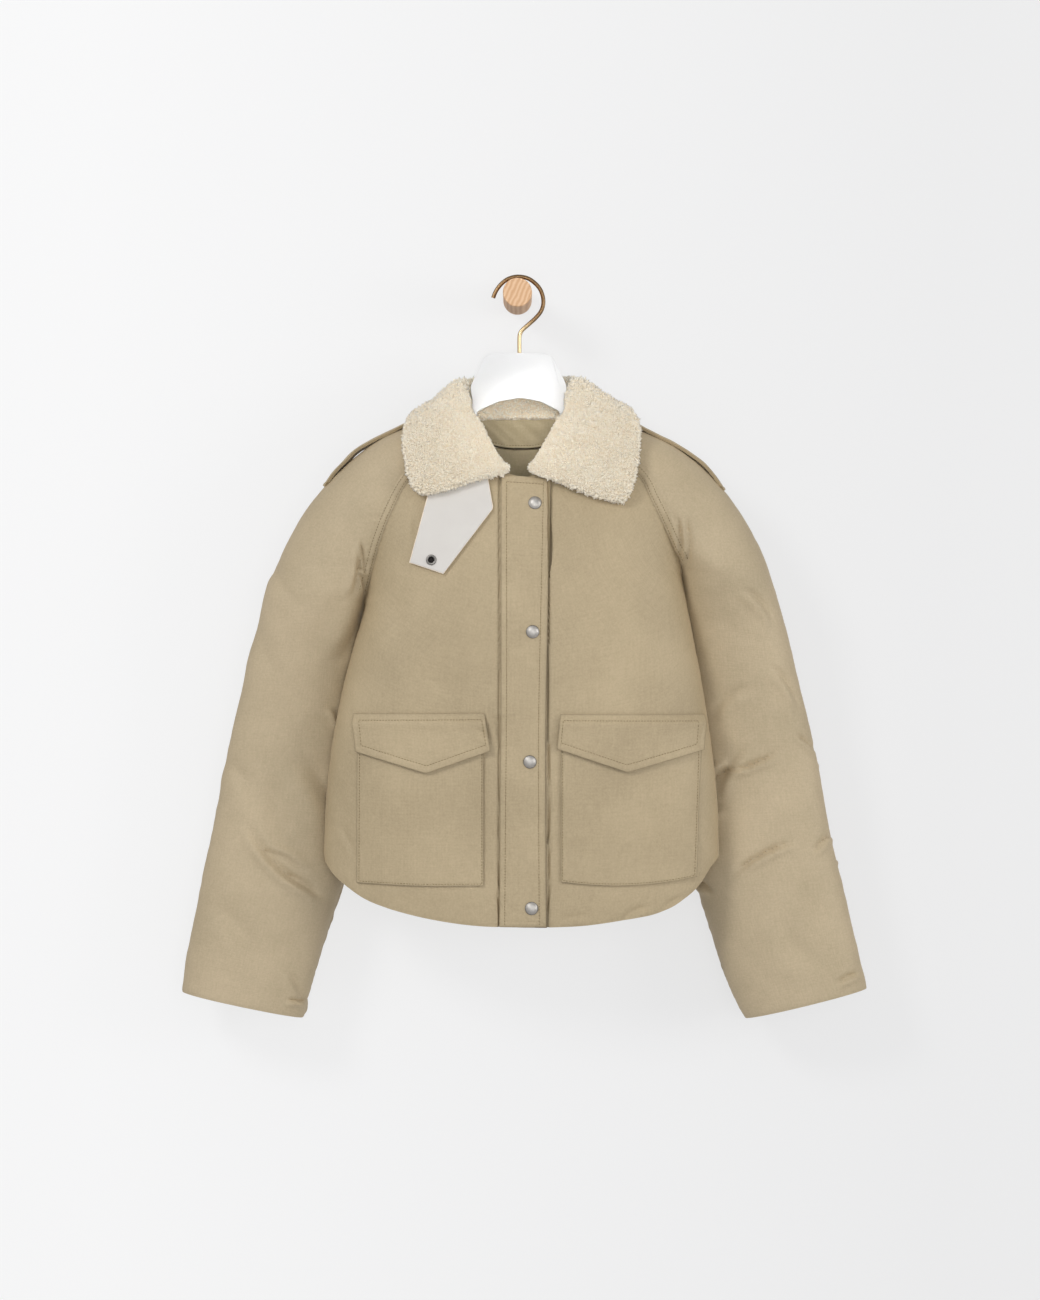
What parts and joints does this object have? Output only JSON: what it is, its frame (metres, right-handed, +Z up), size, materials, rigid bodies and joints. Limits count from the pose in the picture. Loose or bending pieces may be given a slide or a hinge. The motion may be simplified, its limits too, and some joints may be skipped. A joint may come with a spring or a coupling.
{
  "type": "puffer jacket on a hanger",
  "caption": "Cropped padded jacket with a shearling collar and patch pockets, hung on a white hanger from a round wall peg.",
  "frame": {"origin": "centre of the peg's flat back face, which sits on the wall", "axes": "+Y points into the wall along the peg, +Z is up, +X is to the right of someone facing the jacket"},
  "size_m": [0.7877, 0.1801, 0.855],
  "materials": {
    "shell_cotton": "fine matt weave with a slight sheen",
    "shearling": "curled pile",
    "tab_leather": "smooth, soft matt",
    "dark_metal": "dark plated",
    "snap_metal": "polished dome",
    "white_lacquer": "satin white lacquer",
    "hook_bronze": "burnished bronze",
    "peg_wood": "plain, open grain"
  },
  "bodies": {
    "root": {"front_left": "shell_cotton", "front_right": "shell_cotton", "back": "shell_cotton", "sleeve_left": "shell_cotton", "sleeve_right": "shell_cotton", "collar_stand": "shell_cotton", "placket": "shell_cotton", "pocket_left": "shell_cotton", "pocket_right": "shell_cotton", "flap_left": "shell_cotton", "flap_right": "shell_cotton", "epaulette_left": "shell_cotton", "epaulette_right": "shell_cotton", "collar": "shearling", "throat_tab": "tab_leather", "tab_socket": "dark_metal", "snap_1": "snap_metal", "snap_2": "snap_metal", "snap_3": "snap_metal", "snap_4": "snap_metal", "hanger": "white_lacquer", "hanger_hook": "hook_bronze", "wall_peg": "peg_wood"}
  },
  "joints": []
}
